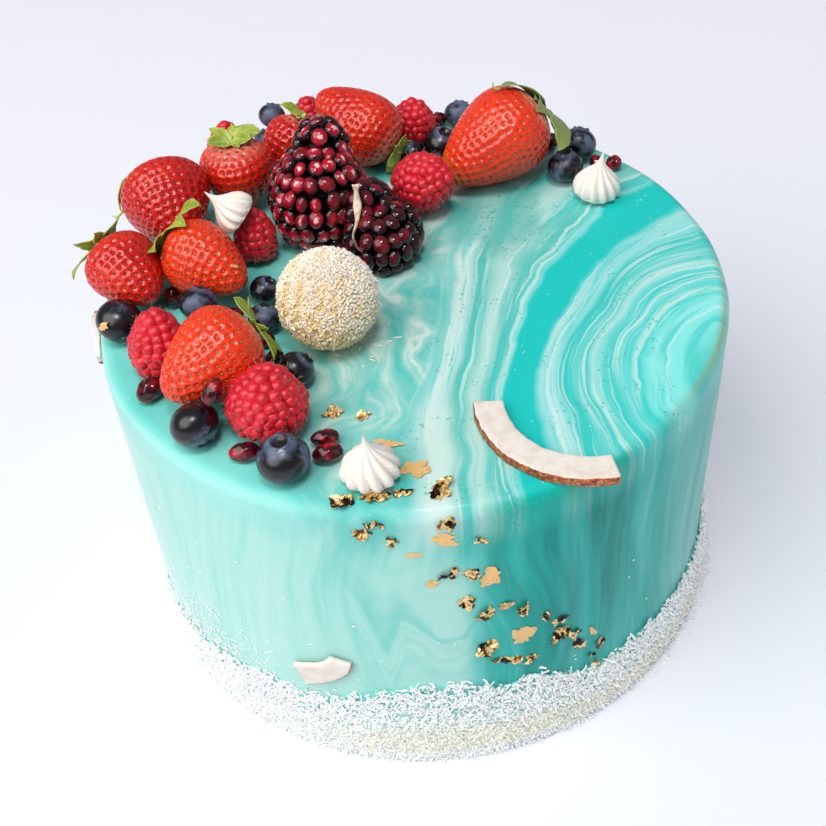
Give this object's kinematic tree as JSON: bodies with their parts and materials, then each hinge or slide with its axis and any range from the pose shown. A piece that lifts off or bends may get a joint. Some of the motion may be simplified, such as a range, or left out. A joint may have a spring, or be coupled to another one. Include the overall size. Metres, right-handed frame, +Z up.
{
  "type": "coconut cake",
  "caption": "Round coconut cake in a marbled mirror glaze, with shredded coconut round its foot and a crescent of berries, pomegranate, meringue kisses and a coconut truffle on top.",
  "frame": {"origin": "centre of the cake's flat foot, on the surface it stands on", "axes": "+Z up, front of the cake towards -Y, so the crescent of toppings lies on the -X side and at the back"},
  "size_m": [0.1856, 0.1844, 0.1456],
  "materials": {
    "glaze": "mirror gloss, turquoise marbled with white",
    "coconut": "matt, made of fine white shreds",
    "strawberry": "soft gloss over dimpled skin, with green sepals",
    "raspberry": "matt with a fine bloom",
    "blueberry": "dull navy with a pale bloom",
    "pomegranate": "wet gloss, dark wine red",
    "truffle_coat": "matt golden beige under white shreds",
    "meringue": "satin white",
    "coconut_flesh": "smooth white flesh with a brown rind on the outer edge"
  },
  "bodies": {
    "root": {"cake": "glaze", "coconut_border": "coconut", "strawberry_1": "strawberry", "strawberry_2": "strawberry", "strawberry_3": "strawberry", "strawberry_4": "strawberry", "strawberry_5": "strawberry", "strawberry_6": "strawberry", "strawberry_7": "strawberry", "strawberry_8": "strawberry", "raspberry_1": "raspberry", "raspberry_2": "raspberry", "raspberry_3": "raspberry", "raspberry_4": "raspberry", "raspberry_5": "raspberry", "raspberry_6": "raspberry", "raspberry_7": "raspberry", "blueberry_1": "blueberry", "blueberry_2": "blueberry", "blueberry_3": "blueberry", "blueberry_4": "blueberry", "blueberry_5": "blueberry", "blueberry_6": "blueberry", "blueberry_7": "blueberry", "blueberry_8": "blueberry", "blueberry_9": "blueberry", "blueberry_10": "blueberry", "blueberry_11": "blueberry", "blueberry_12": "blueberry", "blueberry_13": "blueberry", "blueberry_14": "blueberry", "blueberry_15": "blueberry", "aril_1": "pomegranate", "aril_2": "pomegranate", "aril_3": "pomegranate", "aril_4": "pomegranate", "aril_5": "pomegranate", "aril_6": "pomegranate", "aril_7": "pomegranate", "aril_8": "pomegranate", "aril_9": "pomegranate", "aril_10": "pomegranate", "aril_11": "pomegranate", "aril_12": "pomegranate", "aril_13": "pomegranate", "aril_14": "pomegranate", "pomegranate_chunk": "pomegranate", "coconut_truffle": "truffle_coat", "meringue_1": "meringue", "meringue_2": "meringue", "meringue_3": "meringue", "coconut_slice_top": "coconut_flesh", "coconut_slice_left": "coconut_flesh", "coconut_chip": "coconut_flesh"}
  },
  "joints": []
}
